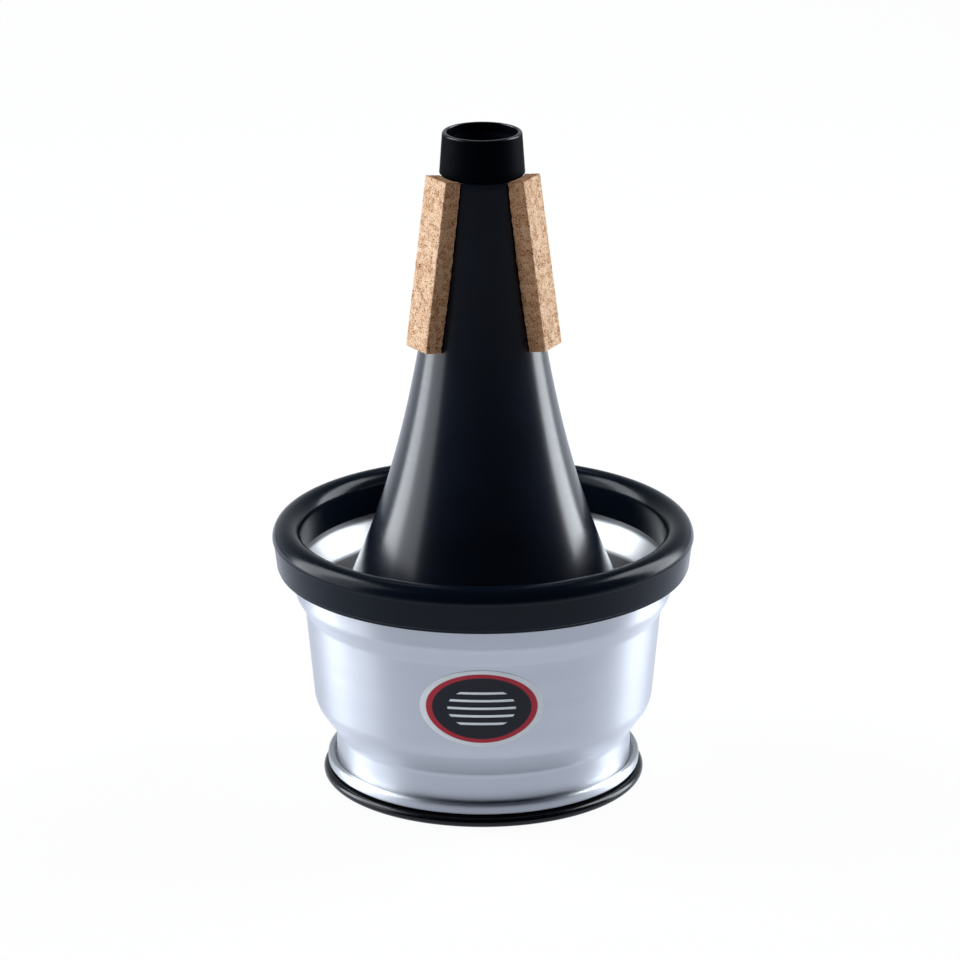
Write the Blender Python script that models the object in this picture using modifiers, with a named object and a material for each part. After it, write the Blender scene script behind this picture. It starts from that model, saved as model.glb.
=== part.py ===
"""Adjustable cup mute: a spun cone on a rolled base, and a cup that slides on the cone's skirt.

Metres, +Z up. The origin is on the mute's axis, at the underside of the base ring.
A profile is a list of corners (distance from the axis, height, rounding radius). It runs down
the outer side of a piece and back up its inner side.
"""
import math

import bmesh
import bpy
from mathutils import Matrix, Vector

mm = 0.001

# Running and seating clearance between pieces, facets round the axis and along a rounding
seat_gap = 0.3 * mm
facets = 48
rounding_step = math.radians(30.0)

# Cone: neck, shoulder, straight taper that widens into the flare, skirt and out-turned foot
cone_wall = 0.5 * mm
neck_radius = 9.5 * mm
neck_length = 9.2 * mm
shoulder_height = 174.5 * mm
shoulder_radius = 11.1 * mm
shoulder_round = 0.5 * mm
taper_slope = 0.114
flare_power = 3.0
flare_steps = 10
skirt_radius = 39.0 * mm
skirt_top = 54.0 * mm
skirt_blend = 14.0 * mm
foot_bend = 1.2 * mm
foot_radius = 43.6 * mm

# Dished end plate, and the rolled bead that clasps its rim and the cone's foot
plate_sheet = 0.5 * mm
dish_depth = 6.0 * mm
dish_round = 2.5 * mm
dome_rise = 2.0 * mm
dome_steps = 4
lip_thickness = 0.4 * mm
lip_width = 2.7 * mm
bead_radius = 45.2 * mm

# Collar that stands on the cone's shoulder, round the neck
collar_length = 11.5 * mm
collar_bottom_radius = 11.8 * mm
collar_top_radius = 10.95 * mm
collar_bottom_round = 0.4 * mm
collar_top_round = 0.3 * mm

# Cork strips, glued along the taper
cork_width = 10.5 * mm
cork_thickness = 5.1 * mm
cork_length = 47.7 * mm
cork_drop = 0.35 * mm
cork_edge = 0.3 * mm
cork_names = ("cork_rear", "cork_left", "cork_right")

# Cup: edge, shoulder, wall, bowl, and the neck with its rolled flange
cup_wall = 0.9 * mm
edge_radius = 52.7 * mm
edge_top = 69.1 * mm
edge_bottom = 55.0 * mm
cup_shoulder_round = 5.0 * mm
wall_top_radius = 50.15 * mm
wall_top = 50.7 * mm
bowl_radius = 47.4 * mm
bowl_height = 22.5 * mm
bowl_round = 8.0 * mm
cup_neck_radius = 41.5 * mm
cup_neck_top = 14.0 * mm
cup_neck_round = 3.0 * mm
cup_bottom = 3.1 * mm
curl_width = 2.5 * mm
curl_height = 3.3 * mm

# Lining glued in the cup's neck
band_inset = 0.8 * mm
band_chamfer = 0.25 * mm

# Rubber edging on the cup's edge
ring_inner_radius = 50.9 * mm
ring_top = 74.2 * mm
ring_tube_radius = 4.0 * mm
ring_inner_bottom = 62.5 * mm
ring_bottom = 61.55 * mm
ring_foot_radius = 57.7 * mm
ring_crease = 0.3 * mm
ring_lip_height = 1.0 * mm
ring_lip_step = 0.35 * mm

# Where one piece stands on another
plate_rim_bottom = lip_thickness + seat_gap
plate_rim_top = plate_rim_bottom + plate_sheet
foot_bottom = plate_rim_top + seat_gap
foot_top = foot_bottom + cone_wall
bead_height = foot_top + seat_gap + lip_thickness
collar_bottom = shoulder_height + seat_gap


def cone_radius(height):
    """Outer radius of the taper and flare, which meets the skirt's radius at the skirt's top."""
    span = shoulder_height - skirt_top
    depth = shoulder_height - height
    widening = skirt_radius - shoulder_radius - taper_slope * span
    return shoulder_radius + taper_slope * depth + widening * (depth / span) ** flare_power


def arc(centre, radius, start, sweep):
    """Points on an arc in the profile plane, with angles in radians from the outward direction."""
    steps = max(1, round(abs(sweep) / rounding_step))
    angles = [start + sweep * step / steps for step in range(steps + 1)]
    return [(centre[0] + radius * math.cos(a), centre[1] + radius * math.sin(a)) for a in angles]


def rounded(corners):
    """The corners of a profile as points, with an arc at each corner that has a rounding radius."""
    points = []
    for index, (radius, height, rounding) in enumerate(corners):
        corner = Vector((radius, height))
        back = Vector(corners[index - 1][:2]) - corner
        ahead = Vector(corners[(index + 1) % len(corners)][:2]) - corner
        if rounding == 0.0:
            points.append(tuple(corner))
            continue
        turn = math.pi - back.angle(ahead)
        reach = min(rounding * math.tan(turn / 2), 0.49 * back.length, 0.49 * ahead.length)
        arc_radius = reach / math.tan(turn / 2)
        inward = (back.normalized() + ahead.normalized()).normalized()
        centre = corner + inward * arc_radius / math.cos(turn / 2)
        arm = corner + back.normalized() * reach - centre
        left_turn = ahead.cross(back) > 0.0
        points += arc(centre, arc_radius, math.atan2(arm.y, arm.x), turn if left_turn else -turn)
    return points


def offset(path, distance):
    """The path moved to its right by a distance, with every rounding kept parallel."""
    moved = []
    for index, (radius, height, rounding) in enumerate(path):
        here = Vector((radius, height))
        runs = []
        if index > 0:
            runs.append((here - Vector(path[index - 1][:2])).normalized())
        if index < len(path) - 1:
            runs.append((Vector(path[index + 1][:2]) - here).normalized())
        normals = [Vector((run.y, -run.x)) for run in runs]
        mitre = (normals[0] + normals[-1]) / (1.0 + normals[0].dot(normals[-1]))
        place = here + mitre * distance
        if rounding > 0.0:
            left_turn = runs[0].cross(runs[-1]) > 0.0
            rounding = max(0.0, rounding + (distance if left_turn else -distance))
        moved.append((place.x, place.y, rounding))
    return moved


def material(name, colour, roughness, metallic):
    """A plain Principled material."""
    made = bpy.data.materials.new(name)
    made.use_nodes = True
    shader = made.node_tree.nodes["Principled BSDF"]
    shader.inputs["Base Color"].default_value = (*colour, 1.0)
    shader.inputs["Roughness"].default_value = roughness
    shader.inputs["Metallic"].default_value = metallic
    made.diffuse_color = (*colour, 1.0)
    return made


def add_object(name, mesh, collection, parent=None):
    """An object in its collection, under its parent."""
    piece = bpy.data.objects.new(name, mesh)
    collection.objects.link(piece)
    piece.parent = parent
    return piece


def turned(name, points, collection, parent=None):
    """A profile turned round the axis. It is closed unless it starts and ends on the axis."""
    on_axis = points[0][0] == 0.0 and points[-1][0] == 0.0
    edges = [(index, index + 1) for index in range(len(points) - 1)]
    if not on_axis:
        edges.append((len(points) - 1, 0))
    profile = bpy.data.meshes.new(name)
    profile.from_pydata([(radius, 0.0, height) for radius, height in points], edges, [])
    piece = add_object(name, profile, collection, parent)
    screw = piece.modifiers.new("turn", "SCREW")
    screw.axis = "Z"
    screw.angle = math.tau
    screw.steps = facets
    screw.render_steps = facets
    screw.use_merge_vertices = True
    screw.merge_threshold = 0.00001
    settle(piece)
    return piece


def settle(piece):
    """The modifiers become the piece's mesh, shaded smooth between its sharp edges."""
    bpy.context.view_layer.update()
    evaluated = piece.evaluated_get(bpy.context.evaluated_depsgraph_get())
    mesh = bpy.data.meshes.new_from_object(evaluated)
    piece.modifiers.clear()
    piece.data = mesh
    mesh.shade_smooth()
    mesh.set_sharp_from_angle(angle=math.radians(35.0))


def cone_path():
    """Outer side of the cone, from the neck's end down to the edge of the foot."""
    path = [
        (neck_radius, shoulder_height + neck_length, 0.0),
        (neck_radius, shoulder_height, shoulder_round),
        (shoulder_radius, shoulder_height, shoulder_round),
    ]
    drop = (shoulder_height - skirt_top) / flare_steps
    for step in range(1, flare_steps):
        height = shoulder_height - drop * step
        path.append((cone_radius(height), height, 0.0))
    path += [
        (skirt_radius, skirt_top, skirt_blend),
        (skirt_radius, foot_top, foot_bend),
        (foot_radius, foot_top, 0.0),
    ]
    return path


def sheet(path, wall):
    """A spun sheet: the outer side of a profile, and back along its inner side."""
    return path + offset(path, wall)[::-1]


def build_cone(collection, lacquer):
    cone = turned("cone_shell", rounded(sheet(cone_path(), cone_wall)), collection)
    cone.data.materials.append(lacquer)


def build_collar(collection, plastic):
    """A sleeve whose bore clears the neck and stays open above it."""
    bore = neck_radius + seat_gap
    top = collar_bottom + collar_length
    corners = [
        (collar_top_radius, top, collar_top_round),
        (collar_bottom_radius, collar_bottom, collar_bottom_round),
        (bore, collar_bottom, 0.0),
        (bore, top, collar_top_round),
    ]
    collar = turned("neck_collar", rounded(corners), collection)
    collar.data.materials.append(plastic)


def build_corks(collection, cutters, cork):
    """Strips whose long inner corners lie on the cone, hollowed to the cone's own shape."""
    hollow = offset(cone_path()[2:-2], -seat_gap)
    top_point = (0.0, hollow[0][1] + collar_length, 0.0)
    upper = (hollow[0][0], top_point[1], 0.0)
    foot_point = (0.0, hollow[-1][1], 0.0)
    cutter_points = [point[:2] for point in [top_point, upper, *hollow, foot_point]]
    cutter = turned("cone_cutter", cutter_points, cutters)
    cutter.hide_render = True
    cutter.display_type = "WIRE"

    top_height = collar_bottom - cork_drop
    bottom_height = top_height - cork_length

    def corner_distance(height):
        return math.sqrt((cone_radius(height) + seat_gap) ** 2 - (cork_width / 2) ** 2)

    top = Vector((corner_distance(top_height), 0.0, top_height))
    bottom = Vector((corner_distance(bottom_height), 0.0, bottom_height))
    along = (top - bottom).normalized()
    across = Vector((0.0, 1.0, 0.0))
    outward = across.cross(along)
    seat = Matrix((outward, across, along)).transposed().to_4x4()
    seat.translation = (top + bottom) / 2

    # The first strip faces the rear, +Y, and the others follow a third of a turn apart
    for index, name in enumerate(cork_names):
        azimuth = math.tau / 4 + math.tau * index / len(cork_names)
        strip = bmesh.new()
        bmesh.ops.create_cube(strip, size=1.0)
        bmesh.ops.scale(strip, vec=(2 * cork_thickness, cork_width, cork_length), verts=strip.verts)
        mesh = bpy.data.meshes.new(name)
        strip.to_mesh(mesh)
        strip.free()
        piece = add_object(name, mesh, collection)
        piece.matrix_world = Matrix.Rotation(azimuth, 4, "Z") @ seat
        bevel = piece.modifiers.new("worn edges", "BEVEL")
        bevel.width = cork_edge
        bevel.segments = 1
        hollowing = piece.modifiers.new("seat on the cone", "BOOLEAN")
        hollowing.operation = "DIFFERENCE"
        hollowing.solver = "EXACT"
        hollowing.object = cutter
        mesh.materials.append(cork)


def build_end_plate(collection, lacquer):
    """A dish nested in the cone's foot, with its rim flat under it and a shallow dome inside."""
    wall_radius = skirt_radius - cone_wall - seat_gap
    shelf = plate_rim_top + dish_depth
    path = []
    for step in range(dome_steps):
        share = step / dome_steps
        path.append((wall_radius * share, shelf + dome_rise * (1 - share ** 2), 0.0))
    path += [
        (wall_radius, shelf, dish_round),
        (wall_radius, plate_rim_top, foot_bend + cone_wall + seat_gap),
        (foot_radius, plate_rim_top, 0.0),
    ]
    points = rounded(sheet(path, plate_sheet))
    points[0] = (0.0, points[0][1])
    points[-1] = (0.0, points[-1][1])
    plate = turned("end_plate", points, collection)
    plate.data.materials.append(lacquer)


def build_base_ring(collection, enamel):
    """A rolled bead with a slot that holds the foot and the plate's rim, flat underneath."""
    slot_radius = foot_radius + seat_gap
    lip_radius = slot_radius - lip_width
    corners = [
        (lip_radius, bead_height, 0.0),
        (bead_radius, bead_height, bead_height / 2),
        (bead_radius, 0.0, bead_height / 2),
        (lip_radius, 0.0, 0.0),
        (lip_radius, lip_thickness, 0.0),
        (slot_radius, lip_thickness, 0.0),
        (slot_radius, bead_height - lip_thickness, 0.0),
        (lip_radius, bead_height - lip_thickness, 0.0),
    ]
    ring = turned("base_ring", rounded(corners), collection)
    ring.data.materials.append(enamel)


def cup_path():
    """Outer side of the cup, from its edge down to the top of the rolled flange."""
    return [
        (edge_radius, edge_top, 0.0),
        (edge_radius, edge_bottom, cup_shoulder_round),
        (wall_top_radius, wall_top, cup_shoulder_round),
        (bowl_radius, bowl_height, bowl_round),
        (cup_neck_radius, cup_neck_top, cup_neck_round),
        (cup_neck_radius, cup_bottom, 0.0),
    ]


def build_cup(collection, aluminium, parent):
    """A spun sheet whose lower edge is rolled outward into an oval bead, taller than it is wide."""
    outer = cup_path()
    inner = offset(outer, cup_wall)[::-1]
    across = curl_width / 2
    middle = (cup_neck_radius + across, cup_bottom + curl_height / 2)
    curl = []
    for radius, height in arc(middle, across, math.radians(150.0), -math.radians(240.0)):
        curl.append((radius, middle[1] + (height - middle[1]) * curl_height / curl_width, 0.0))
    corners = outer[:-1] + curl + inner
    cup = turned("cup_shell", rounded(corners), collection, parent)
    cup.data.materials.append(aluminium)


def build_band(collection, felt, parent):
    """The lining, between the skirt and the bore of the cup's neck."""
    outer = cup_neck_radius - cup_wall - seat_gap
    inner = skirt_radius + seat_gap
    top = cup_neck_top - band_inset
    bottom = cup_bottom + band_inset
    corners = [
        (outer, top, 0.0),
        (outer, bottom, 0.0),
        (inner + band_chamfer, bottom, 0.0),
        (inner, bottom + band_chamfer, 0.0),
        (inner, top - band_chamfer, 0.0),
        (inner + band_chamfer, top, 0.0),
    ]
    band = turned("grip_band", rounded(corners), collection, parent)
    band.data.materials.append(felt)


def build_rim_ring(collection, rubber, parent):
    """Edging with a round top, a crease round its outside and a groove for the cup's edge."""
    tube_centre = (ring_inner_radius + ring_tube_radius, ring_top - ring_tube_radius)
    outer_radius = tube_centre[0] + ring_tube_radius
    lip_top = ring_bottom + ring_lip_height
    groove_outer = edge_radius + seat_gap
    groove_inner = edge_radius - cup_wall - seat_gap
    groove_top = edge_top + seat_gap
    crown = arc(tube_centre, ring_tube_radius, math.pi, -math.pi)
    corners = [(radius, height, 0.0) for radius, height in crown]
    corners += [
        (outer_radius - ring_crease, tube_centre[1] - ring_crease, 0.0),
        (ring_foot_radius, lip_top, 0.0),
        (ring_foot_radius - ring_lip_step, lip_top - ring_lip_step, 0.0),
        (ring_foot_radius - ring_lip_step, ring_bottom, 0.0),
        (groove_outer, ring_bottom, 0.0),
        (groove_outer, groove_top, 0.0),
        (groove_inner, groove_top, 0.0),
        (groove_inner, ring_inner_bottom, 0.0),
        (ring_inner_radius, ring_inner_bottom, 0.0),
    ]
    ring = turned("cup_rim_ring", rounded(corners), collection, parent)
    ring.data.materials.append(rubber)


def main():
    for old in list(bpy.data.objects):
        bpy.data.objects.remove(old)
    parts = bpy.data.collections.new("adjustable_cup_mute")
    cutters = bpy.data.collections.new("cutters")
    bpy.context.scene.collection.children.link(parts)
    bpy.context.scene.collection.children.link(cutters)

    # The cup slides with its lining along the axis, and turns about it
    cup_slide = add_object("cup_slide", None, parts)
    cup_turn = add_object("cup_turn", None, parts, cup_slide)

    lacquer = material("black_lacquer", (0.008, 0.009, 0.014), 0.35, 0.0)
    build_cone(parts, lacquer)
    build_end_plate(parts, material("black_end", (0.009, 0.009, 0.011), 0.4, 0.0))
    build_base_ring(parts, material("black_enamel", (0.006, 0.006, 0.008), 0.2, 0.0))
    build_collar(parts, material("matt_black", (0.006, 0.006, 0.007), 0.55, 0.0))
    build_corks(parts, cutters, material("cork", (0.50, 0.27, 0.13), 0.85, 0.0))
    build_cup(parts, material("spun_aluminium", (0.56, 0.59, 0.64), 0.3, 1.0), cup_turn)
    build_rim_ring(parts, material("black_rubber", (0.012, 0.013, 0.018), 0.5, 0.0), cup_turn)
    build_band(parts, material("grey_felt", (0.08, 0.08, 0.085), 0.95, 0.0), cup_slide)


main()
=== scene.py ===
import math

import bmesh
import bpy
from mathutils import Matrix, Quaternion, Vector


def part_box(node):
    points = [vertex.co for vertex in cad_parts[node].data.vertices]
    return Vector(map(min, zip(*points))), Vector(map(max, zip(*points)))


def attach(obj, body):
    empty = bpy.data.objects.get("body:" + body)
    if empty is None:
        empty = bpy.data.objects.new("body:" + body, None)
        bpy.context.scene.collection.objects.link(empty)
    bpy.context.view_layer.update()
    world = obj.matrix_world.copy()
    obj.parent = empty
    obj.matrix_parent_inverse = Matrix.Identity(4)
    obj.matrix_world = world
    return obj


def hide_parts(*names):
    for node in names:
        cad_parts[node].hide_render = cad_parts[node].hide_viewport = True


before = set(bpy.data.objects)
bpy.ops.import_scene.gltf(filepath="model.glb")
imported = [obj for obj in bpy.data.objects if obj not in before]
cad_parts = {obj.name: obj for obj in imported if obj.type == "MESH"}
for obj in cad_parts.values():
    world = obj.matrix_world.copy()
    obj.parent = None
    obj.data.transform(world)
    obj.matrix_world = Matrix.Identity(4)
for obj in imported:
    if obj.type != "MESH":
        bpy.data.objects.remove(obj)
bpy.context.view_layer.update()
mm = 0.001
print("frame loaded:", len(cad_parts), "nodes")


# Camera at the photograph's place, a little left of the part's own front

cameraPlace = {
    "distance": 1300 * mm,     # along the floor, from the axis
    "height": 523.5 * mm,
    "aimHeight": 86.14 * mm,
    "azimuth": -3.2,           # degrees
    "sensor": 36,              # millimetres, like the lens
    "lens": 184.6,
    "roll": -0.0022,           # radians
    "shift": -0.003,           # of the picture's width
    "clipStart": 50 * mm,
}


def setCamera():
    azimuth = math.radians(cameraPlace["azimuth"])
    away = cameraPlace["distance"]
    place = Vector((math.sin(azimuth) * away, -math.cos(azimuth) * away, cameraPlace["height"]))
    look = Vector((0, 0, cameraPlace["aimHeight"])) - place
    camera = bpy.data.objects.new("camera", bpy.data.cameras.new("camera"))
    bpy.context.scene.collection.objects.link(camera)
    camera.location = place
    turn = look.to_track_quat("-Z", "Y") @ Quaternion((0, 0, 1), cameraPlace["roll"])
    camera.rotation_euler = turn.to_euler()
    camera.data.sensor_width = cameraPlace["sensor"]
    camera.data.lens = cameraPlace["lens"]
    camera.data.shift_x = cameraPlace["shift"]
    camera.data.clip_start = cameraPlace["clipStart"]
    bpy.context.scene.camera = camera


setCamera()
print("camera set")


# Modelling helpers, each one what a hand would do in the viewport

smoothAngle = math.radians(32)
segments = 192                # round the axis; it divides by four, so the box is met on both axes
mergeReach = 0.001 * mm       # corners closer than this become one
ringReach = 0.002 * mm        # and this close to a ring's place they belong to it


def startClean():
    if bpy.context.object and bpy.context.object.mode != "OBJECT":
        bpy.ops.object.mode_set(mode="OBJECT")
    bpy.ops.object.select_all(action="DESELECT")


def onlyThis(piece):
    startClean()
    piece.select_set(True)
    bpy.context.view_layer.objects.active = piece


def applyModifier(piece, kind, **settings):
    onlyThis(piece)
    modifier = piece.modifiers.new(kind.lower(), kind)
    for setting, value in settings.items():
        setattr(modifier, setting, value)
    bpy.ops.object.modifier_apply(modifier=modifier.name)


def finishPiece(piece):
    onlyThis(piece)
    bpy.ops.object.transform_apply(location=True, rotation=True, scale=True)
    bpy.ops.object.shade_smooth_by_angle(angle=smoothAngle)


def selectRing(piece, radius, height):      # the edges of one ring, found by their place
    bpy.ops.mesh.select_all(action="DESELECT")
    bpy.ops.mesh.select_mode(type="EDGE")

    def onRing(corner):
        x, y, z = corner.co
        return abs(math.hypot(x, y) - radius) < ringReach and abs(z - height) < ringReach

    shape = bmesh.from_edit_mesh(piece.data)
    for edge in shape.edges:
        edge.select_set(all(onRing(corner) for corner in edge.verts))
    bmesh.update_edit_mesh(piece.data)


def cornerReach(before, here, after):       # how far a rounding reaches along its two sides
    back = Vector(before[:2]) - Vector(here[:2])
    ahead = Vector(after[:2]) - Vector(here[:2])
    return here[2] * math.tan((math.pi - back.angle(ahead)) / 2)


# A turned piece is drawn out of one circle ring by ring. A ring is (radius, height, rounding).
def turnPiece(name, rings, closed=False, roundSteps=8):
    startClean()
    radius, height = rings[0][:2]
    bpy.ops.mesh.primitive_circle_add(vertices=segments, radius=radius, location=(0, 0, height))
    piece = bpy.context.object
    piece.name = piece.data.name = name
    bpy.ops.object.transform_apply(location=True, rotation=False, scale=False)
    bpy.ops.object.mode_set(mode="EDIT")
    bpy.ops.mesh.select_mode(type="VERT")
    bpy.ops.mesh.select_all(action="SELECT")
    chain = rings[1:] + rings[:1] if closed else rings[1:]
    for nextRadius, nextHeight, _ in chain:
        bpy.ops.mesh.extrude_region_move(
            TRANSFORM_OT_translate={"value": (0, 0, nextHeight - height)})
        if nextRadius == 0:
            bpy.ops.mesh.merge(type="CENTER")
            break
        growth = nextRadius / radius
        bpy.ops.transform.resize(value=(growth, growth, 1), center_override=(0, 0, nextHeight))
        radius, height = nextRadius, nextHeight
    bpy.ops.mesh.select_all(action="SELECT")
    bpy.ops.mesh.remove_doubles(threshold=mergeReach)
    bpy.ops.mesh.normals_make_consistent(inside=False)
    for index, ring in enumerate(rings):
        if ring[2] > 0:
            reach = cornerReach(rings[index - 1], ring, rings[(index + 1) % len(rings)])
            selectRing(piece, ring[0], ring[1])
            bpy.ops.mesh.bevel(offset=reach, segments=roundSteps, affect="EDGES", profile=0.5)
    bpy.ops.object.mode_set(mode="OBJECT")
    return piece


def giveWall(piece, thickness):             # a spun sheet: the wall grows inwards
    applyModifier(piece, "SOLIDIFY", thickness=thickness, offset=-1, use_even_offset=True)


def arcRings(centre, radius, fromAngle, toAngle, steps):
    rings = []
    for step in range(steps + 1):
        angle = math.radians(fromAngle + (toAngle - fromAngle) * step / steps)
        rings.append((centre[0] + radius * math.cos(angle), centre[1] + radius * math.sin(angle), 0))
    return rings


def spanOf(node):                           # outer radius, bottom and top of a turned node
    low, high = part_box(node)
    return high.x, low.z, high.z


# Shader helpers

axisReach = 0.01 * mm                       # keeps a division by the radius safe on the axis


class Value:                                # a socket that Python's operators work on
    def __init__(self, finish, socket):
        self.finish = finish
        self.socket = socket

    def maths(self, operation, *parts):
        return self.finish.node("Math", {"operation": operation}, dict(enumerate(parts)))

    def __add__(self, other):
        return self.maths("ADD", self, other)

    def __sub__(self, other):
        return self.maths("SUBTRACT", self, other)

    def __rsub__(self, other):
        return self.maths("SUBTRACT", other, self)

    def __mul__(self, other):
        return self.maths("MULTIPLY", self, other)

    def __truediv__(self, other):
        return self.maths("DIVIDE", self, other)

    def __pow__(self, other):
        return self.maths("POWER", self, other)

    def __lt__(self, other):
        return self.maths("LESS_THAN", self, other)

    __radd__ = __add__
    __rmul__ = __mul__


class Recipe:                               # a node tree, and the ways to add nodes to it
    def __init__(self, tree):
        self.tree = tree

    def plug(self, value, socket):
        if isinstance(value, Value):
            self.tree.links.new(value.socket, socket)
        else:
            socket.default_value = value

    def node(self, kind, settings, values, output=0):
        made = self.tree.nodes.new("ShaderNode" + kind)
        for setting, value in settings.items():
            if setting == "stops":
                ramp = made.color_ramp.elements
                while len(ramp) < len(value):
                    ramp.new(0.5)
                for stop, (position, colour) in zip(ramp, value):
                    stop.position = position
                    stop.color = (*colour, 1)
            else:
                setattr(made, setting, value)
        for socket, value in values.items():
            self.plug(value, made.inputs[socket])
        return Value(self, made.outputs[output])

    def split(self, vector):                # x, y and z, each on its own
        first = self.node("SeparateXYZ", {}, {0: vector})
        return [Value(self, socket) for socket in first.socket.node.outputs]

    def spread(self, value, low, high, toLow=0, toHigh=1):
        return self.node("MapRange", {}, {
            "Value": value, "From Min": low, "From Max": high, "To Min": toLow, "To Max": toHigh})

    def blend(self, factor, first, second, kind="MIX"):
        return self.node("Mix", {"data_type": "RGBA", "blend_type": kind, "clamp_result": False},
                         {0: factor, 6: first, 7: second}, 2)


class Finish(Recipe):                       # one material, painted through its shader
    def __init__(self, name, **fixed):
        self.material = bpy.data.materials.new(name)
        self.material.use_nodes = True
        super().__init__(self.material.node_tree)
        self.shader = self.tree.nodes["Principled BSDF"]
        for socket, value in fixed.items():
            self.shader.inputs[socket.replace("_", " ")].default_value = value

    def place(self):                        # where a point lies on the part, in metres
        return self.node("TexCoord", {}, {}, "Object")

    def noise(self, place, scale, detail=3, roughness=0.5, output=0):
        return self.node("TexNoise", {}, {
            "Vector": place, "Scale": scale, "Detail": detail, "Roughness": roughness}, output)

    def fromAxis(self, place):
        x, y, _ = self.split(place)
        return (x * x + y * y) ** 0.5

    def turnedOut(self, place):             # the distance from the axis, below zero on a face that looks in
        x, y, _ = self.split(place)
        normalX, normalY, _ = self.split(self.node("TexCoord", {}, {}, "Normal"))
        return x * normalX + y * normalY

    def roundAbout(self, around, up, lean):  # a place whose patterns run round the axis
        place = self.place()
        x, y, z = self.split(place)
        radius = self.fromAxis(place) + axisReach
        return self.node("CombineXYZ", {}, {
            0: x / radius * around, 1: y / radius * around, 2: (z + radius * lean) * up})

    def bump(self, height, depth):
        return self.node("Bump", {}, {"Height": height, "Distance": depth, "Strength": 1})

    def paint(self, **sockets):
        for socket, value in sockets.items():
            self.plug(value, self.shader.inputs[socket.replace("_", " ")])

    def on(self, piece):
        piece.data.materials.clear()
        piece.data.materials.append(self.material)


# Cone: spun sheet, lacquered satin black

coneShape = {
    "wall": 0.5 * mm,
    "neckRadius": 9.5 * mm,
    "shoulderHeight": 174.5 * mm,
    "shoulderRadius": 11.1 * mm,
    "shoulderRound": 0.5 * mm,
    "taperSlope": 0.114,
    "flarePower": 3,
    "flareSteps": 48,
    "skirtRadius": 39 * mm,
    "skirtTop": 54 * mm,
    "skirtBlend": 14 * mm,
    "blendRise": 4.5 * mm,     # above the skirt's top, where the blend begins
    "footBend": 1.2 * mm,
}


def coneRadius(height):                     # the taper widens into the flare and meets the skirt
    span = coneShape["shoulderHeight"] - coneShape["skirtTop"]
    depth = coneShape["shoulderHeight"] - height
    taper = coneShape["shoulderRadius"] + coneShape["taperSlope"] * depth
    widening = coneShape["skirtRadius"] - coneShape["shoulderRadius"] - coneShape["taperSlope"] * span
    return taper + widening * (depth / span) ** coneShape["flarePower"]


def flareRings(clearance=0):                # they stop where the skirt's blend begins
    blendTop = coneShape["skirtTop"] + coneShape["blendRise"]
    drop = (coneShape["shoulderHeight"] - blendTop) / coneShape["flareSteps"]
    rings = []
    for step in range(1, coneShape["flareSteps"] + 1):
        height = coneShape["shoulderHeight"] - drop * step
        rings.append((coneRadius(height) + clearance, height, 0))
    return rings


def buildCone():
    footRadius, footBottom, neckTop = spanOf("cone_shell")
    footTop = footBottom + coneShape["wall"]
    rings = [
        (coneShape["neckRadius"], neckTop, 0),
        (coneShape["neckRadius"], coneShape["shoulderHeight"], coneShape["shoulderRound"]),
        (coneShape["shoulderRadius"], coneShape["shoulderHeight"], coneShape["shoulderRound"]),
        *flareRings(),
        (coneShape["skirtRadius"], coneShape["skirtTop"], coneShape["skirtBlend"]),
        (coneShape["skirtRadius"], footTop, coneShape["footBend"]),
        (footRadius, footTop, 0),
    ]
    cone = turnPiece("cone", rings)
    giveWall(cone, coneShape["wall"])
    finishPiece(cone)
    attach(cone, "mute_body")
    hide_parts("cone_shell")
    return cone


cone = buildCone()
print("cone modelled")


# End plate: a dish nested in the cone's foot

plateShape = {
    "sheet": 0.5 * mm,
    "gap": 0.3 * mm,
    "shelf": 6 * mm,           # above the rim
    "shelfRound": 2.5 * mm,
    "domeRise": 2 * mm,
    "domeSteps": 16,
}


def buildEndPlate():
    rimRadius, rimBottom, _ = spanOf("end_plate")
    rimTop = rimBottom + plateShape["sheet"]
    wallRadius = coneShape["skirtRadius"] - coneShape["wall"] - plateShape["gap"]
    shelf = rimTop + plateShape["shelf"]
    bend = coneShape["footBend"] + coneShape["wall"] + plateShape["gap"]
    rings = [
        (rimRadius, rimTop, 0),
        (wallRadius, rimTop, bend),
        (wallRadius, shelf, plateShape["shelfRound"]),
    ]
    for step in range(plateShape["domeSteps"] - 1, -1, -1):
        share = step / plateShape["domeSteps"]
        rings.append((wallRadius * share, shelf + plateShape["domeRise"] * (1 - share ** 2), 0))
    plate = turnPiece("endPlate", rings)
    giveWall(plate, plateShape["sheet"])
    finishPiece(plate)
    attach(plate, "mute_body")
    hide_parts("end_plate")
    return plate


endPlate = buildEndPlate()
print("end plate modelled")


# Base ring: a rolled bead that clasps the cone's foot and the plate's rim

beadShape = {
    "lipThickness": 0.4 * mm,
    "lipWidth": 2.7 * mm,
    "slotDepth": 1.3 * mm,     # from the bead's outside to the bottom of its slot
    "lipRound": 0.2 * mm,
    "roundSteps": 24,
}


def buildBaseRing():
    outside, bottom, top = spanOf("base_ring")
    half = (top - bottom) / 2
    slotRadius = outside - beadShape["slotDepth"]
    lipRadius = slotRadius - beadShape["lipWidth"]
    lip = beadShape["lipThickness"]
    rings = [
        (lipRadius, bottom + lip, beadShape["lipRound"]),
        (lipRadius, bottom, beadShape["lipRound"]),
        *arcRings((outside - half, bottom + half), half, -90, 90, beadShape["roundSteps"]),
        (lipRadius, top, beadShape["lipRound"]),
        (lipRadius, top - lip, beadShape["lipRound"]),
        (slotRadius, top - lip, 0),
        (slotRadius, bottom + lip, 0),
    ]
    bead = turnPiece("baseRing", rings, closed=True, roundSteps=3)
    finishPiece(bead)
    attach(bead, "mute_body")
    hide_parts("base_ring")
    return bead


baseRing = buildBaseRing()
print("base ring modelled")


# Collar: a matt black sleeve on the neck

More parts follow.
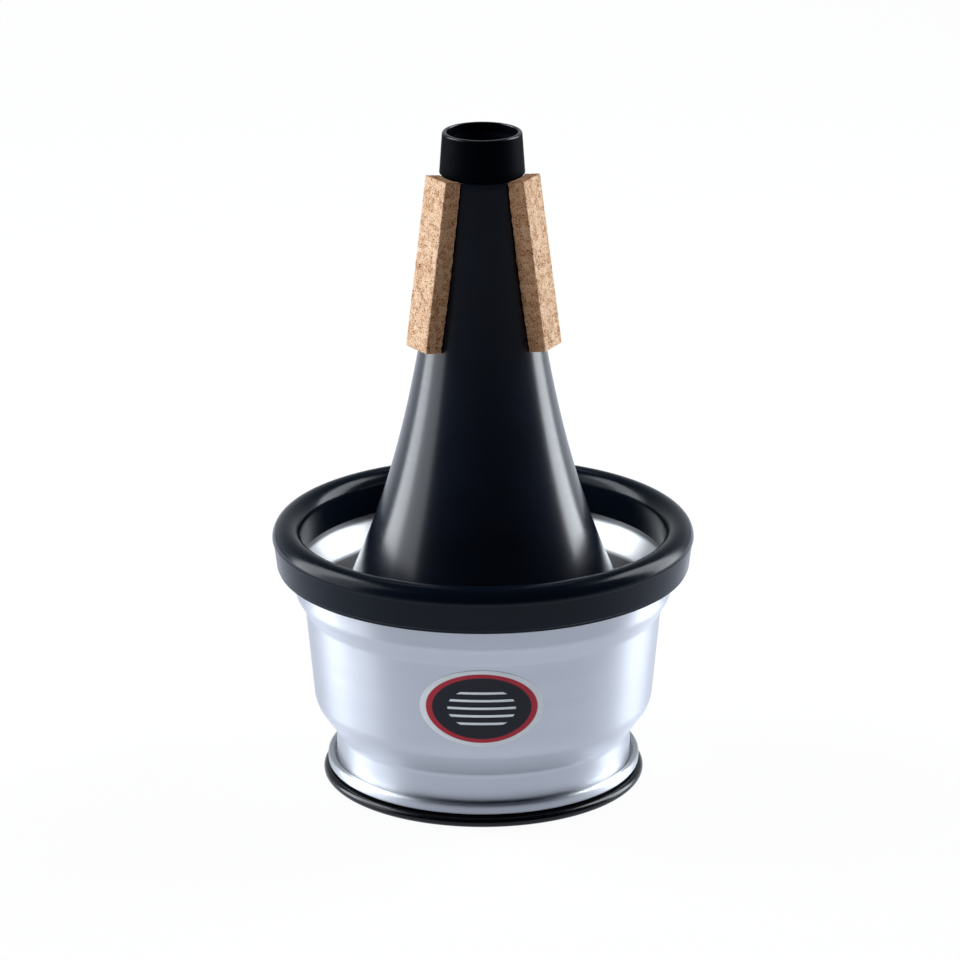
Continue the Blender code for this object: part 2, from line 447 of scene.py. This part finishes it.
collarShape = {
    "topRadius": 10.95 * mm,
    "bore": 9.8 * mm,
    "bottomRound": 0.2 * mm,
    "mouthRound": 0.6 * mm,    # outside
    "lipRound": 0.3 * mm,      # inside
}


def buildCollar():
    bottomRadius, bottom, top = spanOf("neck_collar")
    rings = [
        (collarShape["topRadius"], top, collarShape["mouthRound"]),
        (bottomRadius, bottom, collarShape["bottomRound"]),
        (collarShape["bore"], bottom, 0),
        (collarShape["bore"], top, collarShape["lipRound"]),
    ]
    collar = turnPiece("neckCollar", rings, closed=True)
    finishPiece(collar)
    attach(collar, "mute_body")
    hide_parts("neck_collar")
    return collar


collar = buildCollar()
print("collar modelled")


# Cork strips: cut blocks, hollowed to the cone, with crumbled edges and open pores

corkShape = {
    "names": {"cork_rear": "corkRear", "cork_left": "corkLeft", "cork_right": "corkRight"},
    "width": 10.5 * mm,
    "thickness": 5.1 * mm,
    "length": 47.9 * mm,
    "belowCollar": 0.15 * mm,
    "gap": 0.3 * mm,
    "edge": 0.3 * mm,
    "edgeSteps": 2,
    "meshSize": 0.24 * mm,
    "grain": (0.9 * mm, 2),    # size and detail
    "grainDepth": 0.1 * mm,
    "pores": (0.45 * mm, 1),
    "poreRange": (0.2, 0.42),  # the pores' cloud at a pore's bottom and at its edge
    "poreDepth": 0.16 * mm,
}


def clouds(name, size, depth):
    texture = bpy.data.textures.new(name, "CLOUDS")
    texture.noise_scale = size
    texture.noise_depth = depth
    return texture


def corkSeat():
    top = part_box("neck_collar")[0].z - corkShape["belowCollar"]
    bottom = top - corkShape["length"]

    def cornerAt(height):
        reach = coneRadius(height) + corkShape["gap"]
        return Vector((math.sqrt(reach ** 2 - (corkShape["width"] / 2) ** 2), 0, height))

    along = (cornerAt(top) - cornerAt(bottom)).normalized()
    across = Vector((0, 1, 0))
    seat = Matrix((across.cross(along), across, along)).transposed().to_4x4()
    seat.translation = (cornerAt(top) + cornerAt(bottom)) / 2
    return seat


def buildCorks():
    shoulder = (coneShape["shoulderRadius"] + corkShape["gap"], coneShape["shoulderHeight"], 0)
    above = (shoulder[0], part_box("neck_collar")[1].z, 0)
    core = turnPiece("corkCore", [above, shoulder, *flareRings(corkShape["gap"])])
    bpy.ops.object.mode_set(mode="EDIT")
    bpy.ops.mesh.select_mode(type="EDGE")
    bpy.ops.mesh.select_all(action="DESELECT")
    bpy.ops.mesh.select_non_manifold(extend=False)
    bpy.ops.mesh.fill_holes(sides=0)
    bpy.ops.mesh.select_all(action="SELECT")
    bpy.ops.mesh.normals_make_consistent(inside=False)
    bpy.ops.object.mode_set(mode="OBJECT")
    seat = corkSeat()
    grain = clouds("cork grain", *corkShape["grain"])
    pores = clouds("cork pores", *corkShape["pores"])
    pores.use_color_ramp = True
    pit, rim = pores.color_ramp.elements
    pit.position, rim.position = corkShape["poreRange"]
    pit.color = (0, 0, 0, 1)
    rim.color = (1, 1, 1, 1)
    made = []
    for index, (node, name) in enumerate(corkShape["names"].items()):
        startClean()
        bpy.ops.mesh.primitive_cube_add(size=1)
        cork = bpy.context.object
        cork.name = cork.data.name = name
        bpy.ops.object.mode_set(mode="EDIT")
        bpy.ops.transform.resize(
            value=(2 * corkShape["thickness"], corkShape["width"], corkShape["length"]))
        bpy.ops.mesh.bevel(offset=corkShape["edge"], segments=corkShape["edgeSteps"], affect="EDGES")
        bpy.ops.object.mode_set(mode="OBJECT")
        azimuth = math.tau / 4 + math.tau * index / len(corkShape["names"])
        cork.matrix_world = Matrix.Rotation(azimuth, 4, "Z") @ seat
        bpy.ops.object.transform_apply(location=True, rotation=True, scale=True)
        applyModifier(cork, "BOOLEAN", operation="DIFFERENCE", solver="EXACT", object=core)
        applyModifier(cork, "REMESH", mode="VOXEL", voxel_size=corkShape["meshSize"])
        applyModifier(cork, "DISPLACE", texture=grain, strength=-corkShape["grainDepth"], mid_level=0)
        applyModifier(cork, "DISPLACE", texture=pores, strength=corkShape["poreDepth"], mid_level=1)
        finishPiece(cork)
        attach(cork, "mute_body")
        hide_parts(node)
        made.append(cork)
    bpy.data.objects.remove(core)
    return made


corks = buildCorks()
print("corks modelled")


# Cup: spun aluminium, with a rolled flange

cupShape = {
    "wall": 0.9 * mm,
    "edgeBottom": 54.6 * mm,
    "shoulderRound": 3 * mm,
    "wallTopRadius": 49.9 * mm,
    "wallTop": 49.8 * mm,
    "insideEdgeBottom": 60.0 * mm,     # inside, the shoulder is longer and gentler
    "insideWallTop": 53.8 * mm,
    "insideRound": 5 * mm,
    "bowlRadius": 47.4 * mm,
    "bowlHeight": 22.5 * mm,
    "bowlRound": 8 * mm,
    "neckRadius": 41.5 * mm,
    "neckTop": 14 * mm,
    "neckRound": 3 * mm,
    "leastRound": 0.05 * mm,
    "curlGroove": 0.6 * mm,            # between the neck and the roll
    "curlWidth": 1.9 * mm,
    "curlTop": 3.3 * mm,               # above the cup's lowest point
    "curlBottom": 0.35 * mm,
    "curlSquareness": 0.7,             # 1 is a plain oval
    "curlSteps": 36,
}


def insideOf(rings, wall):                  # the rings of the inner side, from the bottom up
    moved = []
    for index, (radius, height, rounding) in enumerate(rings):
        here = Vector((radius, height))
        runs = []
        if index > 0:
            runs.append((here - Vector(rings[index - 1][:2])).normalized())
        if index < len(rings) - 1:
            runs.append((Vector(rings[index + 1][:2]) - here).normalized())
        normals = [Vector((run.y, -run.x)) for run in runs]
        place = here + (normals[0] + normals[-1]) / (1 + normals[0].dot(normals[-1])) * wall
        if rounding > 0:
            outward = runs[0].cross(runs[-1]) > 0
            rounding = max(cupShape["leastRound"], rounding + (wall if outward else -wall))
        moved.append((place.x, place.y, rounding))
    return moved[::-1]


def buildCup():
    edgeRadius, bottom, edgeTop = spanOf("cup_shell")
    neck = cupShape["neckRadius"]
    across = cupShape["curlWidth"] / 2
    upright = (cupShape["curlTop"] - cupShape["curlBottom"]) / 2
    outer = [
        (edgeRadius, edgeTop, 0),
        (edgeRadius, cupShape["edgeBottom"], cupShape["shoulderRound"]),
        (cupShape["wallTopRadius"], cupShape["wallTop"], cupShape["shoulderRound"]),
        (cupShape["bowlRadius"], cupShape["bowlHeight"], cupShape["bowlRound"]),
        (neck, cupShape["neckTop"], cupShape["neckRound"]),
    ]
    middle = bottom + cupShape["curlBottom"] + upright
    centre = neck + cupShape["curlGroove"] + across

    def squared(share):
        return math.copysign(abs(share) ** cupShape["curlSquareness"], share)

    rolled = [
        (centre + squared(right) * across, middle + squared(rise) * upright, 0)
        for right, rise, _ in arcRings((0, 0), 1, 180, -90, cupShape["curlSteps"])]
    rolled.insert(0, (neck, middle, 0))
    wallRise = cupShape["wallTop"] - cupShape["bowlHeight"]
    lean = (cupShape["wallTopRadius"] - cupShape["bowlRadius"]) / wallRise
    insideTop = cupShape["insideWallTop"]
    insideRadius = cupShape["bowlRadius"] + (insideTop - cupShape["bowlHeight"]) * lean
    sheet = [
        outer[0],
        (edgeRadius, cupShape["insideEdgeBottom"], cupShape["insideRound"]),
        (insideRadius, insideTop, cupShape["insideRound"]),
        *outer[3:],
        (neck, bottom, 0),
    ]
    inner = insideOf(sheet, cupShape["wall"])
    cup = turnPiece("cup", outer + rolled + inner, closed=True, roundSteps=12)
    finishPiece(cup)
    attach(cup, "cup")
    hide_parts("cup_shell")
    return cup


cup = buildCup()
print("cup modelled")


# Rim ring: rubber edging with a round crown, a crease and a thin lip

rimShape = {
    "innerRadius": 50.9 * mm,
    "tubeRadius": 4 * mm,
    "innerBottom": 62.5 * mm,
    "footRadius": 57.7 * mm,
    "crease": 0.3 * mm,
    "creaseRound": 0.12 * mm,
    "lipHeight": 1 * mm,
    "lipStep": 0.35 * mm,
    "lipRound": 0.15 * mm,
    "edgeRound": 0.1 * mm,     # at the step and the groove
    "bottomRound": 0.3 * mm,   # at the outer and the inner foot
    "gap": 0.3 * mm,
    "crownSteps": 40,
}


def buildRimRing():
    outside, bottom, top = spanOf("cup_rim_ring")
    edgeRadius, _, edgeTop = spanOf("cup_shell")
    tube = rimShape["tubeRadius"]
    middle = (outside - tube, top - tube)
    lipTop = bottom + rimShape["lipHeight"]
    step = rimShape["lipStep"]
    grooveOuter = edgeRadius + rimShape["gap"]
    grooveInner = edgeRadius - cupShape["wall"] - rimShape["gap"]
    grooveTop = edgeTop + rimShape["gap"]
    rings = [
        *arcRings(middle, tube, 180, 0, rimShape["crownSteps"]),
        (outside - rimShape["crease"], middle[1] - rimShape["crease"], rimShape["creaseRound"]),
        (rimShape["footRadius"], lipTop, rimShape["lipRound"]),
        (rimShape["footRadius"] - step, lipTop - step, rimShape["edgeRound"]),
        (rimShape["footRadius"] - step, bottom, rimShape["bottomRound"]),
        (grooveOuter, bottom, rimShape["edgeRound"]),
        (grooveOuter, grooveTop, 0),
        (grooveInner, grooveTop, 0),
        (grooveInner, rimShape["innerBottom"], rimShape["edgeRound"]),
        (rimShape["innerRadius"], rimShape["innerBottom"], rimShape["bottomRound"]),
    ]
    ring = turnPiece("rimRing", rings, closed=True, roundSteps=4)
    finishPiece(ring)
    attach(ring, "cup")
    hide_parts("cup_rim_ring")
    return ring


rimRing = buildRimRing()
print("rim ring modelled")


# Grip band: felt lining in the cup's neck

bandShape = {
    "gap": 0.3 * mm,
    "edge": 0.35 * mm,
}


def buildGripBand():
    outside, bottom, top = spanOf("grip_band")
    bore = coneShape["skirtRadius"] + bandShape["gap"]
    edge = bandShape["edge"]
    rings = [
        (outside, top, edge),
        (outside, bottom, edge),
        (bore, bottom, edge),
        (bore, top, edge),
    ]
    band = turnPiece("gripBand", rings, closed=True, roundSteps=4)
    finishPiece(band)
    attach(band, "cup_grip")
    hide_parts("grip_band")
    return band


gripBand = buildGripBand()
print("grip band modelled")


# Label: a plain oval sticker that lies on the cup's wall

labelShape = {
    "halfWidth": 17 * mm,
    "halfHeight": 11.5 * mm,
    "height": 36.8 * mm,       # of its middle
    "azimuth": -3.75,          # degrees
    "clearance": 0.08 * mm,    # from the wall to the middle of the sheet
    "thickness": 0.12 * mm,
    "rings": 16,
    "field": 0.8,              # of the way from the middle to the edge: black
    "band": 0.9,               # and red
    "lines": 0.55,             # and how far the fine lines go
    "lineStep": 2.3 * mm,
    "lineWidth": 0.7 * mm,
}


def buildLabel():
    count = labelShape["rings"]
    label = turnPiece("ovalLabel", [(1 - step / count, 0, 0) for step in range(count)] + [(0, 0, 0)])
    label.scale = (labelShape["halfWidth"], labelShape["halfHeight"], 1)
    label.rotation_euler.x = math.pi / 2
    label.location = (0, -spanOf("cup_rim_ring")[0], labelShape["height"])
    onlyThis(label)
    bpy.ops.object.transform_apply(location=True, rotation=True, scale=True)
    applyModifier(label, "SHRINKWRAP", target=cup, wrap_method="PROJECT", use_project_y=True,
                  offset=labelShape["clearance"])
    applyModifier(label, "SOLIDIFY", thickness=labelShape["thickness"], offset=0)
    label.rotation_euler.z = math.radians(labelShape["azimuth"])
    finishPiece(label)
    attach(label, "cup")
    return label


ovalLabel = buildLabel()
print("label modelled")


# Finishes. Each look's noises are (scale, detail, roughness), its colours (dark, light)
# and its roughness (smoothest, roughest).

mostNoise = (0.3, 0.7)         # where nearly all of a noise's values lie
middleNoise = (0.35, 0.65)
quarterTurn = 0.25             # turns a highlight so that it runs along the axis

lacquerLook = {
    "shine": 0.46,
    "anisotropy": 0.4,
    "turningMarks": (1.2, 5200, -1),        # round the axis, along it, and their lean
    "markDepth": 0.0015 * mm,
    "patches": (60, 3),
    "patchLightness": 1.5,
    "roughnessRange": (-0.02, 0.03),        # about the roughness of the piece
    "cone": ((0.003, 0.0048, 0.0105), 0.23),
    "endPlate": ((0.003, 0.0035, 0.005), 0.38),
}


def lacquerFinish(name, colour, roughness):
    look = lacquerLook
    finish = Finish(name, Specular_IOR_Level=look["shine"], Anisotropic=look["anisotropy"],
                    Anisotropic_Rotation=quarterTurn)
    turning = finish.noise(finish.roundAbout(*look["turningMarks"]), 1)
    patches = finish.noise(finish.place(), *look["patches"])
    paler = [channel * look["patchLightness"] for channel in colour]
    smoother, rougher = look["roughnessRange"]
    finish.paint(
        Base_Color=finish.blend(finish.spread(patches, *middleNoise), (*colour, 1), (*paler, 1)),
        Roughness=finish.spread(turning, *mostNoise, roughness + smoother, roughness + rougher),
        Normal=finish.bump(turning, look["markDepth"]))
    return finish


lacquerFinish("satinLacquer", *lacquerLook["cone"]).on(cone)
lacquerFinish("endLacquer", *lacquerLook["endPlate"]).on(endPlate)


enamelLook = {
    "shine": 0.3,
    "ripple": (3, 300, -1),                 # round the axis, along it, and its lean
    "rippleDetail": 2,
    "rippleDepth": 0.02 * mm,
    "rubbing": (400, 4),
    "colours": ((0.001, 0.001, 0.002, 1), (0.002, 0.002, 0.003, 1)),
    "roughness": (0.12, 0.26),
}


def enamelFinish():
    look = enamelLook
    finish = Finish("glossEnamel", Specular_IOR_Level=look["shine"])
    ripple = finish.noise(finish.roundAbout(*look["ripple"]), 1, look["rippleDetail"])
    rubbing = finish.noise(finish.place(), *look["rubbing"])
    finish.paint(
        Base_Color=finish.blend(ripple, *look["colours"]),
        Roughness=finish.spread(rubbing, *mostNoise, *look["roughness"]),
        Normal=finish.bump(ripple, look["rippleDepth"]))
    return finish


enamelFinish().on(baseRing)


plasticLook = {
    "shine": 0.012,
    "lipGloss": 0.2,                        # roughness of the rubbed lip's gloss
    "lipReach": (0.5 * mm, 0.1 * mm),       # below the mouth, where the gloss begins and is full
    "grit": (5200, 3, 0.6),
    "gritDepth": 0.02 * mm,
    "colours": ((0.0006, 0.0012, 0.0025, 1), (0.0014, 0.0022, 0.004, 1)),
    "roughness": (0.42, 0.56),
}


def plasticFinish():
    look = plasticLook
    finish = Finish("mattPlastic", Specular_IOR_Level=look["shine"], Coat_Roughness=look["lipGloss"])
    grit = finish.noise(finish.place(), *look["grit"])
    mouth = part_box("neck_collar")[1].z
    height = finish.split(finish.place())[2]
    faint, full = look["lipReach"]
    finish.paint(
        Base_Color=finish.blend(grit, *look["colours"]),
        Roughness=finish.spread(grit, *mostNoise, *look["roughness"]),
        Coat_Weight=finish.spread(height, mouth - faint, mouth - full),
        Normal=finish.bump(grit, look["gritDepth"]))
    return finish


plasticFinish().on(collar)


corkLook = {
    "shine": 0.05,
    "warp": (1500, 3, 0.6),                 # bends the granules' edges
    "warpReach": 1 * mm,
    "granules": 620,
    "crumbs": (2400, 2, 0.6),
    "fine": (5200, 2, 0.6),
    "shares": (0.12, 0.6, 0.28),            # of granules, crumbs and fine grain in the tone
    "tones": [
        (0.36, (0.27, 0.115, 0.05)),
        (0.43, (0.49, 0.27, 0.145)),
        (0.5, (0.66, 0.43, 0.27)),
        (0.6, (0.8, 0.58, 0.405)),
    ],
    "bark": (1300, 0.4, 0.35),              # scale, size, and the share of granules that hold one
    "barkStrength": 0.8,
    "barkColour": (0.17, 0.06, 0.025, 1),
    "flecks": (760, 0.26, 0.12),
    "fleckColour": (0.12, 0.045, 0.02, 1),
    "shadedSides": (0.75, 0.55),               # how far a face looks outwards, from the lit front to a side in painted shade
    # painted shade: the colour laid over the strips' sides
    "sideShadeTint": (0.95, 0.79, 0.66, 1),
    "roughness": (0.75, 0.92),
    "relief": (0.5, 0.3),                   # of crumbs and fine grain
    "reliefDepth": 0.06 * mm,
}


def corkFinish():
    look = corkLook
    finish = Finish("agglomeratedCork", Specular_IOR_Level=look["shine"])
    place = finish.place()
    warp = finish.noise(place, *look["warp"], "Color")
    bent = finish.node("VectorMath", {"operation": "MULTIPLY_ADD"}, {
        0: warp, 1: (look["warpReach"],) * 3, 2: place})

    def cells(scale, output):
        return finish.node("TexVoronoi", {}, {"Vector": bent, "Scale": scale}, output)

    def specks(scale, size, share):         # dark bits in some of the granules
        chance = finish.split(cells(scale, "Color"))[1]
        return finish.spread(cells(scale, "Distance"), size, size / 2) * (chance < share)

    shade = finish.split(cells(look["granules"], "Color"))[0]
    crumbs = finish.noise(place, *look["crumbs"])
    fine = finish.noise(place, *look["fine"])
    shadeShare, crumbShare, fineShare = look["shares"]
    mixed = shade * shadeShare + crumbs * crumbShare + fine * fineShare
    body = finish.node("ValToRGB", {"stops": look["tones"]}, {0: mixed})
    body = finish.blend(specks(*look["bark"]) * look["barkStrength"], body, look["barkColour"])
    flecks = specks(*look["flecks"])
    body = finish.blend(flecks, body, look["fleckColour"])
    # painted shade: the sides of each strip get a darker, browner copy of the cork
    facing = finish.turnedOut(place) / finish.fromAxis(place)
    shadedBody = finish.blend(1, body, look["sideShadeTint"], "MULTIPLY")
    body = finish.blend(finish.spread(facing, *look["shadedSides"]), body, shadedBody)
    crumbRelief, fineRelief = look["relief"]
    finish.paint(
        Base_Color=body,
        Roughness=finish.spread(fine, *mostNoise, *look["roughness"]),
        Normal=finish.bump(crumbs * crumbRelief + fine * fineRelief - flecks, look["reliefDepth"]))
    return finish


for strip in corks:
    corkFinish().on(strip)


aluminiumLook = {
    "anisotropy": 0.85,
    "brushing": (2.2, 6500, 1),             # round the axis, along it, and its lean
    "brushingNoise": (1, 4, 0.65),
    "ridges": (0.8, 420, 1),
    "ridgesNoise": (1, 2),
    "colours": ((0.56, 0.575, 0.605, 1), (0.63, 0.645, 0.675, 1)),
    "stains": (45, 4),
    "stainStrength": (0.4, 0.75, 0, 0.2),   # noise from and to, strength from and to
    "stainColour": (0.52, 0.535, 0.565, 1),
    "inwardReach": 20 * mm,                 # a face is inside when it looks this far back to the axis
    # painted highlight: the inside of the shoulder is coloured pale where it catches the lamps
    "shoulderHighlightColour": (0.88, 0.89, 0.9, 1),
    "shoulderFade": 1.5 * mm,
    # painted shade: the inside of the bowl, far darker than the metal, where it lies in shade and mirrors
    # the black cone
    "bowlShadeColours": ((0.14, 0.14, 0.145, 1), (0.2, 0.2, 0.205, 1)),
    "rubberShadeFade": 1 * mm,                    # painted shade: the dark strip under the rubber
    "rubberShadeStrength": 0.6,
    "flangeFade": 1 * mm,
    "roughness": (0.345, 0.395),
    "rollRougher": 0.1,
    "rollFade": 0.3 * mm,
    "shoulderRougher": 0.12,
    "shares": ((0.7, 0.3), (0.6, 0.4)),     # of brushing and ridges, in the roughness and the relief
    "reliefDepth": 0.004 * mm,
}


def aluminiumFinish():
    look = aluminiumLook
    finish = Finish("spunAluminium", Metallic=1, Anisotropic=look["anisotropy"],
                    Anisotropic_Rotation=quarterTurn)
    brushing = finish.noise(finish.roundAbout(*look["brushing"]), *look["brushingNoise"])
    ridges = finish.noise(finish.roundAbout(*look["ridges"]), *look["ridgesNoise"])
    marks, relief = [brushing * fine + ridges * broad for fine, broad in look["shares"]]
    stains = finish.noise(finish.place(), *look["stains"])
    tone = finish.blend(brushing, *look["colours"])
    tone = finish.blend(finish.spread(stains, *look["stainStrength"]), tone, look["stainColour"])
    height = finish.split(finish.place())[2]
    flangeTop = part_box("cup_shell")[0].z + cupShape["curlTop"]
    shoulderLow = cupShape["insideWallTop"]
    shoulderHigh = cupShape["insideEdgeBottom"]
    inside = finish.spread(finish.turnedOut(finish.place()), 0, -look["inwardReach"])
    aboveFlange = finish.spread(height, flangeTop, flangeTop + look["flangeFade"])
    aboveBowl = finish.spread(height, shoulderLow - look["shoulderFade"], shoulderLow)
    # painted shade: the strip just under the rubber edging
    strip = finish.spread(height, shoulderHigh, shoulderHigh + look["rubberShadeFade"])
    # painted highlight inside the shoulder
    paintedHighlight = inside * aboveBowl * (1 - strip)
    # painted shade inside the bowl, and under the rubber edging
    paintedShade = inside * aboveFlange * (1 - aboveBowl) + inside * strip * look["rubberShadeStrength"]
    tone = finish.blend(paintedHighlight, tone, look["shoulderHighlightColour"])
    tone = finish.blend(paintedShade, tone, finish.blend(brushing, *look["bowlShadeColours"]))
    roughness = finish.spread(marks, *middleNoise, *look["roughness"])
    roll = finish.spread(height, flangeTop, flangeTop - look["rollFade"], 0, look["rollRougher"])
    finish.paint(
        Base_Color=tone,
        Roughness=roughness + roll + paintedHighlight * look["shoulderRougher"],
        Normal=finish.bump(relief, look["reliefDepth"]))
    return finish


aluminiumFinish().on(cup)


rubberLook = {
    "shine": 0.14,
    "bloom": (70, 4, 0.6),
    "skin": (2500, 3),
    "skinDepth": 0.008 * mm,
    "shares": (0.7, 0.3),                   # of bloom and skin, in the roughness
    "colours": ((0.002, 0.0045, 0.0095, 1), (0.0032, 0.006, 0.0115, 1)),
    "roughness": (0.16, 0.25),
}


def rubberFinish():
    look = rubberLook
    finish = Finish("blackRubber", Specular_IOR_Level=look["shine"])
    bloom = finish.noise(finish.place(), *look["bloom"])
    skin = finish.noise(finish.place(), *look["skin"])
    bloomShare, skinShare = look["shares"]
    finish.paint(
        Base_Color=finish.blend(bloom, *look["colours"]),
        Roughness=finish.spread(bloom * bloomShare + skin * skinShare, *middleNoise, *look["roughness"]),
        Normal=finish.bump(skin, look["skinDepth"]))
    return finish


rubberFinish().on(rimRing)


feltLook = {
    "shine": 0.2,
    "roughness": 0.95,
    "fibres": (90, 1800, 1),                # round the axis, along it, and their lean
    "fibresNoise": (1, 4, 0.7),
    "fibreDepth": 0.12 * mm,
    "colours": ((0.04, 0.04, 0.043, 1), (0.13, 0.13, 0.135, 1)),
}


def feltFinish():
    look = feltLook
    finish = Finish("greyFelt", Specular_IOR_Level=look["shine"], Roughness=look["roughness"])
    fibres = finish.noise(finish.roundAbout(*look["fibres"]), *look["fibresNoise"])
    finish.paint(
        Base_Color=finish.blend(fibres, *look["colours"]),
        Normal=finish.bump(fibres, look["fibreDepth"]))
    return finish


feltFinish().on(gripBand)


labelLook = {
    "shine": 0.25,
    "white": (0.88, 0.9, 0.92, 1),
    "red": (0.5, 0.022, 0.04, 1),
    "black": (0.008, 0.009, 0.016, 1),
    "blur": 0.008,             # of the oval edges, on a scale where the label's edge is 1
    "lineBlur": 0.1,           # of the lines' edges, as a share of half their width
    "sheen": (900, 3),
    "sheenDepth": 0.004 * mm,
    "roughness": (0.3, 0.42),
}


def labelFinish():             # a black field with fine lines, in a red band and a white margin
    look = labelLook
    finish = Finish("printedVinyl", Specular_IOR_Level=look["shine"])
    facing = finish.node("Mapping", {}, {
        "Vector": finish.place(), "Rotation": (0, 0, -math.radians(labelShape["azimuth"]))})
    x, _, z = finish.split(facing)
    across = x / labelShape["halfWidth"]
    up = (z - labelShape["height"]) / labelShape["halfHeight"]
    reach = (across * across + up * up) ** 0.5

    def within(edge):
        return finish.spread(reach, edge + look["blur"], edge - look["blur"])

    step = labelShape["lineStep"] / labelShape["halfHeight"]
    half = labelShape["lineWidth"] / labelShape["halfHeight"] / 2
    away = up.maths("PINGPONG", up, step / 2)
    lines = finish.spread(away, half * (1 + look["lineBlur"]), half * (1 - look["lineBlur"]))
    colour = finish.blend(within(labelShape["band"]), look["white"], look["red"])
    colour = finish.blend(within(labelShape["field"]), colour, look["black"])
    colour = finish.blend(lines * within(labelShape["lines"]), colour, look["white"])
    sheen = finish.noise(finish.place(), *look["sheen"])
    finish.paint(
        Base_Color=colour,
        Roughness=finish.spread(sheen, *mostNoise, *look["roughness"]),
        Normal=finish.bump(sheen, look["sheenDepth"]))
    return finish


labelFinish().on(ovalLabel)
print("finishes made")


# Floor and light

studio = {
    "floorSize": 8,
    "paper": ((0.9, 0.9, 0.9, 1), (0.93, 0.93, 0.93, 1)),
    "paperGrain": 8,
    "paperRoughness": 0.9,
    "paperShine": 0.1,
    "tableEdge": (0.9, 0.3),   # reflections see the white floor within this reach of the part
    "whiteness": 0.94,         # how far the floor shows plain white, with the part's shadow in the rest
    "seenFloor": (1, 1, 1, 1),
    "mirroredFloor": (0.8, 0.86, 1, 1),     # the floor as metal and gloss show it
    "room": (0.018, 0.024, 0.038, 1),       # in front and above
    "backdrop": (0.6, 0.64, 0.68, 1),       # low behind the part
    "backdropReach": (-0.1, 0.9),           # from its edge to its middle, along the view
    "backdropHeight": (0.75, 0.1),          # from its top down
    "lampColour": (0.9, 0.95, 1),
    "boxes": {                 # azimuth in degrees from the camera, width in metres, watts
        "leftBox": (-107, 0.34, 8.2),
        "leftFill": (-83, 0.4, 3),
        "rightBox": (113, 0.4, 10.4),
    },
    "boxDistance": 0.75,
    "boxHeight": 0.4,
    "boxTall": 0.9,
    "boxAim": (0, 0, 0.1),
    "floorLampPlace": (0, 1.15, 1.3),
    "floorLampSize": 0.8,
    "floorLampSpread": 85,     # degrees; its beam falls on the floor behind the part
    "floorLampPower": 3,
}


def addLamp(name, place, aim, size, tall, power):
    lamp = bpy.data.lights.new(name, "AREA")
    lamp.shape = "RECTANGLE"
    lamp.size = size
    lamp.size_y = tall
    lamp.energy = power
    lamp.color = studio["lampColour"]
    holder = bpy.data.objects.new(name, lamp)
    bpy.context.scene.collection.objects.link(holder)
    holder.location = place
    holder.rotation_euler = (Vector(aim) - Vector(place)).to_track_quat("-Z", "Y").to_euler()
    return lamp


def layFloor():
    startClean()
    bpy.ops.mesh.primitive_plane_add(size=studio["floorSize"])
    floor = bpy.context.object
    floor.name = "floor"
    paper = Finish("whitePaper", Roughness=studio["paperRoughness"],
                   Specular_IOR_Level=studio["paperShine"])
    grain = paper.noise(paper.place(), studio["paperGrain"])
    paper.paint(Base_Color=paper.blend(grain, *studio["paper"]))
    rays = paper.node("LightPath", {}, {}).socket.node.outputs
    camera, glossy, through = [
        Value(paper, rays[f"Is {ray} Ray"]) for ray in ("Camera", "Glossy", "Transmission")]
    table = paper.spread(paper.fromAxis(paper.place()), *studio["tableEdge"])
    shown = paper.blend(camera, studio["mirroredFloor"], studio["seenFloor"])
    mixed = paper.node("MixShader", {}, {
        0: (camera + (glossy + through) * table) * studio["whiteness"],
        1: Value(paper, paper.shader.outputs[0]),
        2: paper.node("Emission", {}, {"Color": shown, "Strength": 1})})
    paper.plug(mixed, paper.tree.nodes["Material Output"].inputs["Surface"])
    paper.on(floor)


def lightRoom():
    world = bpy.context.scene.world or bpy.data.worlds.new("studio")
    bpy.context.scene.world = world
    world.use_nodes = True
    air = Recipe(world.node_tree)
    _, behind, up = air.split(air.node("TexCoord", {}, {}, "Generated"))
    paleness = air.spread(behind, *studio["backdropReach"]) * air.spread(up, *studio["backdropHeight"])
    air.plug(air.blend(paleness, studio["room"], studio["backdrop"]),
             world.node_tree.nodes["Background"].inputs["Color"])


def hangLamps():
    away = studio["boxDistance"]
    for name, (turn, width, power) in studio["boxes"].items():
        azimuth = math.radians(cameraPlace["azimuth"] + turn)
        place = (math.sin(azimuth) * away, -math.cos(azimuth) * away, studio["boxHeight"])
        addLamp(name, place, studio["boxAim"], width, studio["boxTall"], power)
    place = studio["floorLampPlace"]
    size = studio["floorLampSize"]
    floorLamp = addLamp("floorLamp", place, (place[0], place[1], 0), size, size, studio["floorLampPower"])
    floorLamp.spread = math.radians(studio["floorLampSpread"])


layFloor()
lightRoom()
hangLamps()
bpy.context.scene.view_settings.view_transform = "Standard"
print("studio lit")
